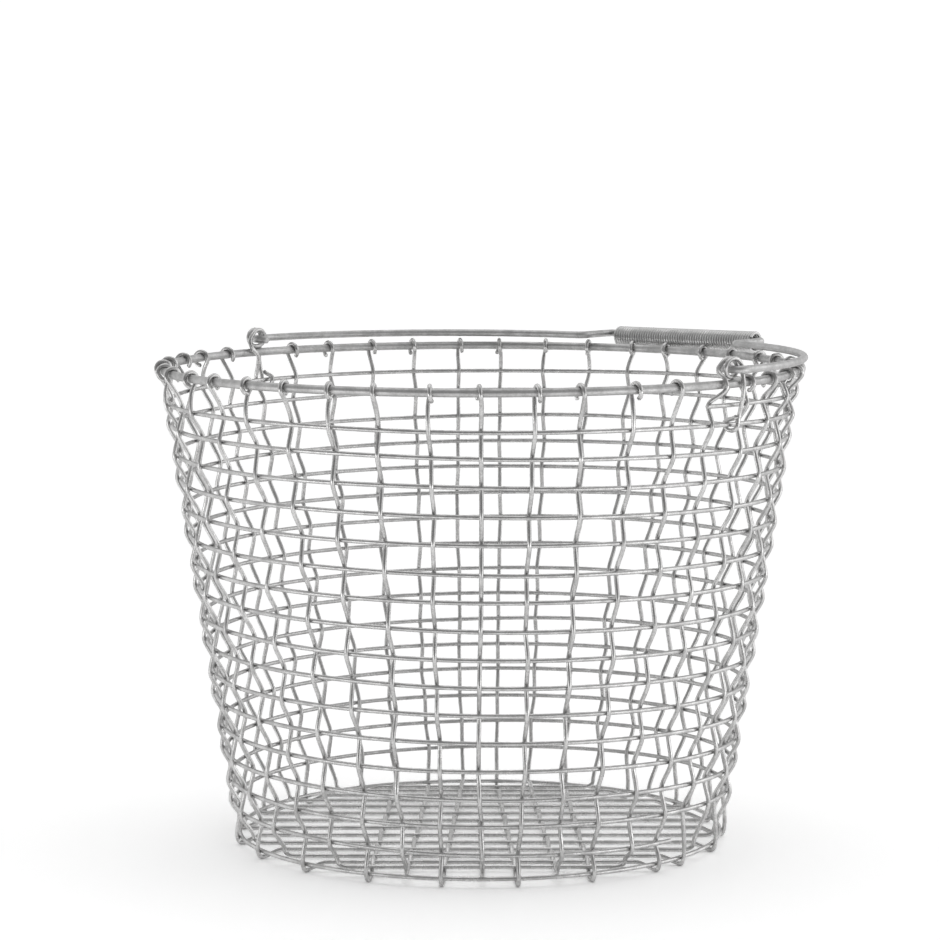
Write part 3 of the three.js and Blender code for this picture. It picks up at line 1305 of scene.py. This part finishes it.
@dataclass
class Studio:
    """A white sweep whose room is dim on the camera's side, where the floor gets painted shade, with a
    window, a lamp, two low panels and a camera.

    Attributes:
        floor_radius: radius of the floor.
        floor_sides: sides of the floor.
        floor_colour: the floor's colour under the object's own light.
        floor_shown: the floor's colour as the camera and bright metal see it.
        floor_painted_shade: share of that colour left where the floor is painted darker towards the
            camera, a painted shade of the dim camera side.
        painted_shade_span: from where to where the floor's painted shade deepens, from the object towards
            the camera.
        backdrop: brightness of the room behind the object.
        camera_side: brightness of the room behind the camera.
        walls_span: from where to where the one eases into the other, as a share towards the camera.
        window: how much brighter the room is on the right.
        window_span: from where to where the window's light grows, as a share to the right.
        overhead: brightness of the ceiling.
        ceiling_span: from where to where the walls ease into the ceiling, as a share upwards.
        sun: strength of the lamp overhead.
        sun_width: the angle that the lamp fills, seen from the object.
        sun_lean: how far it hangs behind the object, as a share of its height.
        panel: power of each of the two low panels of light in front of the object.
        panel_turn: the panels' angle from the camera's side, round the object.
        panel_away: their distance from the object's axis.
        panel_width: their width.
        panel_tall: their height.
        panel_middle: height of their middle.
        panel_tilt: how far they face upwards, so that their light ends softly on the floor.
        camera_turn: the camera's angle round the object, from the front.
        camera_away: its distance from the object's axis.
        camera_aside: its step to the left of the line to the axis.
        camera_height: its height.
        camera_dip: its angle below level.
        camera_lens: its focal length in millimetres.
        camera_sensor: the width of its sensor in millimetres.
    """

    floor_radius: float = 40.0
    floor_sides: int = 96
    floor_colour: float = 0.85
    floor_shown: float = 1.32
    # Painted shade: the floor's colour is eased darker towards the camera. It stands in for the dim camera
    # side of the room, which the metal reflects.
    floor_painted_shade: float = 0.3
    painted_shade_span: tuple[float, float] = (0.6, 2.2)
    backdrop: float = 1.06
    camera_side: float = 0.24
    walls_span: tuple[float, float] = (-0.4, 0.7)
    window: float = 0.7
    window_span: tuple[float, float] = (0.5, 0.95)
    overhead: float = 0.46
    ceiling_span: tuple[float, float] = (0.35, 0.9)
    sun: float = 0.6
    sun_width: float = math.radians(60)
    sun_lean: float = 0.3
    panel: float = 0.55
    panel_turn: float = math.radians(50)
    panel_away: float = 0.75
    panel_width: float = 0.5
    panel_tall: float = 0.2
    panel_middle: float = 0.14
    panel_tilt: float = math.radians(38)
    camera_turn: float = math.radians(41.7)
    camera_away: float = 2.123
    camera_aside: float = 0.00596
    camera_height: float = 0.4455
    camera_dip: float = 0.1041
    camera_lens: float = 135.5
    camera_sensor: float = 36.0

    @property
    def towards(self) -> Vector:
        """Points level from the object to the camera."""
        return Vector((math.sin(self.camera_turn), -math.cos(self.camera_turn), 0.0))

    @property
    def right(self) -> Vector:
        """Points level to the camera's right."""
        return Vector((math.cos(self.camera_turn), math.sin(self.camera_turn), 0.0))

    def build(self) -> None:
        """Sets up the floor, the light and the camera."""
        bpy.context.scene.view_settings.view_transform = "Standard"
        self._floor()
        self._room()
        self._lamp()
        self._panels()
        self._camera()

    def _seen(self, nodes: NodeTree) -> bpy.types.NodeSocket:
        """Adds nodes that tell rays that show the floor from those that light the object.

        Args:
            nodes: the tree that they go into.

        Returns:
            An output that is above zero where the ray comes from the camera, metal or glass.
        """
        light = nodes.add("ShaderNodeLightPath").outputs
        direct = nodes.combine("MAXIMUM", light["Is Camera Ray"], light["Is Glossy Ray"])
        return nodes.combine("MAXIMUM", direct, light["Is Transmission Ray"])

    def _ramp(
        self,
        nodes: NodeTree,
        place: bpy.types.NodeSocket,
        way: Vector,
        span: tuple[float, float],
        values: tuple[float, float],
    ) -> bpy.types.NodeSocket:
        """Adds nodes that ease from one value to another along a direction.

        Args:
            nodes: the tree that they go into.
            place: an output with the place to measure.
            way: the direction to measure it along.
            span: where the easing starts and stops.
            values: the values there.

        Returns:
            The output with the eased value.
        """
        reach = nodes.add("ShaderNodeVectorMath", {"operation": "DOT_PRODUCT"})
        nodes.join(place, reach.inputs[0])
        nodes.join(way, reach.inputs[1])
        ease = nodes.add(
            "ShaderNodeMapRange",
            {"interpolation_type": "SMOOTHSTEP"},
            Value=reach.outputs["Value"],
            From_Min=span[0],
            From_Max=span[1],
            To_Min=values[0],
            To_Max=values[1],
        )
        return ease.outputs["Result"]

    def _floor(self) -> None:
        """Lays the floor under the object, with painted shade towards the camera."""
        bpy.ops.object.select_all(action="DESELECT")
        low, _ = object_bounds()
        bpy.ops.mesh.primitive_circle_add(
            vertices=self.floor_sides,
            radius=self.floor_radius,
            fill_type="NGON",
            location=(0.0, 0.0, min(low.z, 0.0)),
        )
        floor = bpy.context.object
        floor.name = "studio_floor"
        paint = bpy.data.materials.new("studio_floor_paint")
        paint.use_nodes = True
        paint.node_tree.nodes.clear()
        nodes = NodeTree(paint.node_tree)
        place = nodes.add("ShaderNodeTexCoord").outputs["Object"]
        # Painted shade: the floor's colour darkens towards the camera, standing in for the shade on that
        # side of the room
        sweep = self._ramp(nodes, place, self.towards, self.painted_shade_span, (1.0, self.floor_painted_shade))
        tone = nodes.add(
            "ShaderNodeMapRange",
            Value=self._seen(nodes),
            To_Min=self.floor_colour,
            To_Max=self.floor_shown,
        )
        colour = nodes.combine("MULTIPLY", sweep, tone.outputs["Result"])
        matt = nodes.add("ShaderNodeBsdfDiffuse", Color=colour)
        nodes.add("ShaderNodeOutputMaterial", Surface=matt.outputs["BSDF"])
        floor.data.materials.append(paint)
        floor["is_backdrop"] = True

    def _room(self) -> None:
        """Surrounds the object with a room that is white behind it and dim behind the camera."""
        world = bpy.data.worlds.new("studio_room")
        world.use_nodes = True
        world.node_tree.nodes.clear()
        nodes = NodeTree(world.node_tree)
        way = nodes.add("ShaderNodeTexCoord").outputs["Generated"]
        walls = self._ramp(nodes, way, self.towards, self.walls_span, (self.backdrop, self.camera_side))
        window = self._ramp(nodes, way, self.right, self.window_span, (0.0, self.window))
        lit = nodes.combine("ADD", walls, window)
        ceiling = self._ramp(nodes, way, UP, self.ceiling_span, (0.0, 1.0))
        room = nodes.add("ShaderNodeMix", {"data_type": "FLOAT"}, Factor=ceiling, A=lit, B=self.overhead)
        glow = nodes.add("ShaderNodeBackground", Color=room.outputs["Result"])
        nodes.add("ShaderNodeOutputWorld", Surface=glow.outputs["Background"])
        bpy.context.scene.world = world

    def _lamp(self) -> None:
        """Hangs one broad, even lamp overhead, a little behind the object."""
        bpy.ops.object.light_add(type="SUN")
        lamp = bpy.context.object
        lamp.name = "overhead_lamp"
        lamp.data.energy = self.sun
        lamp.data.angle = self.sun_width
        lamp.rotation_euler = (self.towards * self.sun_lean - UP).to_track_quat("-Z", "Y").to_euler()

    def _panels(self) -> None:
        """Sets a low panel of light on either side of the camera, facing up at the basket's wall."""
        for name, side in (("left_panel", -1), ("right_panel", 1)):
            turn = side * self.panel_turn
            away = self.towards * math.cos(turn) + self.right * math.sin(turn)
            bpy.ops.object.light_add(type="AREA", location=away * self.panel_away + UP * self.panel_middle)
            panel = bpy.context.object
            panel.name = name
            panel.data.shape = "RECTANGLE"
            panel.data.size = self.panel_width
            panel.data.size_y = self.panel_tall
            panel.data.energy = self.panel
            panel.visible_camera = False
            facing = UP * math.sin(self.panel_tilt) - away * math.cos(self.panel_tilt)
            panel.rotation_euler = facing.to_track_quat("-Z", "Y").to_euler()

    def _camera(self) -> None:
        """Sets the camera where the photograph was taken from."""
        level = self.towards * self.camera_away - self.right * self.camera_aside
        bpy.ops.object.camera_add(
            location=AXIS + level + UP * self.camera_height,
            rotation=(math.pi / 2 - self.camera_dip, 0.0, self.camera_turn),
        )
        camera = bpy.context.object
        camera.name = "photo_camera"
        camera.data.lens = self.camera_lens
        camera.data.sensor_width = self.camera_sensor
        bpy.context.scene.camera = camera


def joint_place(frame: dict[str, Any], name: str) -> Vector:
    """Gives the place of a joint of the frame, by the joint's name."""
    return Vector(next(joint["pos_m"] for joint in frame["joints"] if joint["name"] == name))


def main() -> None:
    """Builds the basket on its frame, from the weaver to the grip, and the studio round it."""
    logging.basicConfig(level=logging.INFO, format="%(name)s: %(message)s")
    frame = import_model()
    zinc_bloom_group()
    draw_lines_group()
    form = WallForm.on_frame()
    weaver = Weaver(form, UnsteadyHand(WEAVER_SEED), WOVEN_ZINC)
    weaver.build()
    Stakes(form, weaver, UnsteadyHand(STAKES_SEED), WOVEN_ZINC).build()
    Hoops(form, RIM_ZINC, WOVEN_ZINC).build()
    hinge = joint_place(frame, "bail_hinge") - AXIS
    grip = joint_place(frame, "grip_spin") - AXIS
    Bail(hinge, grip.y, form, RIM_ZINC).build()
    Grip(grip, GRIP_ZINC).build()
    Studio().build()


if __name__ == "__main__":
    main()
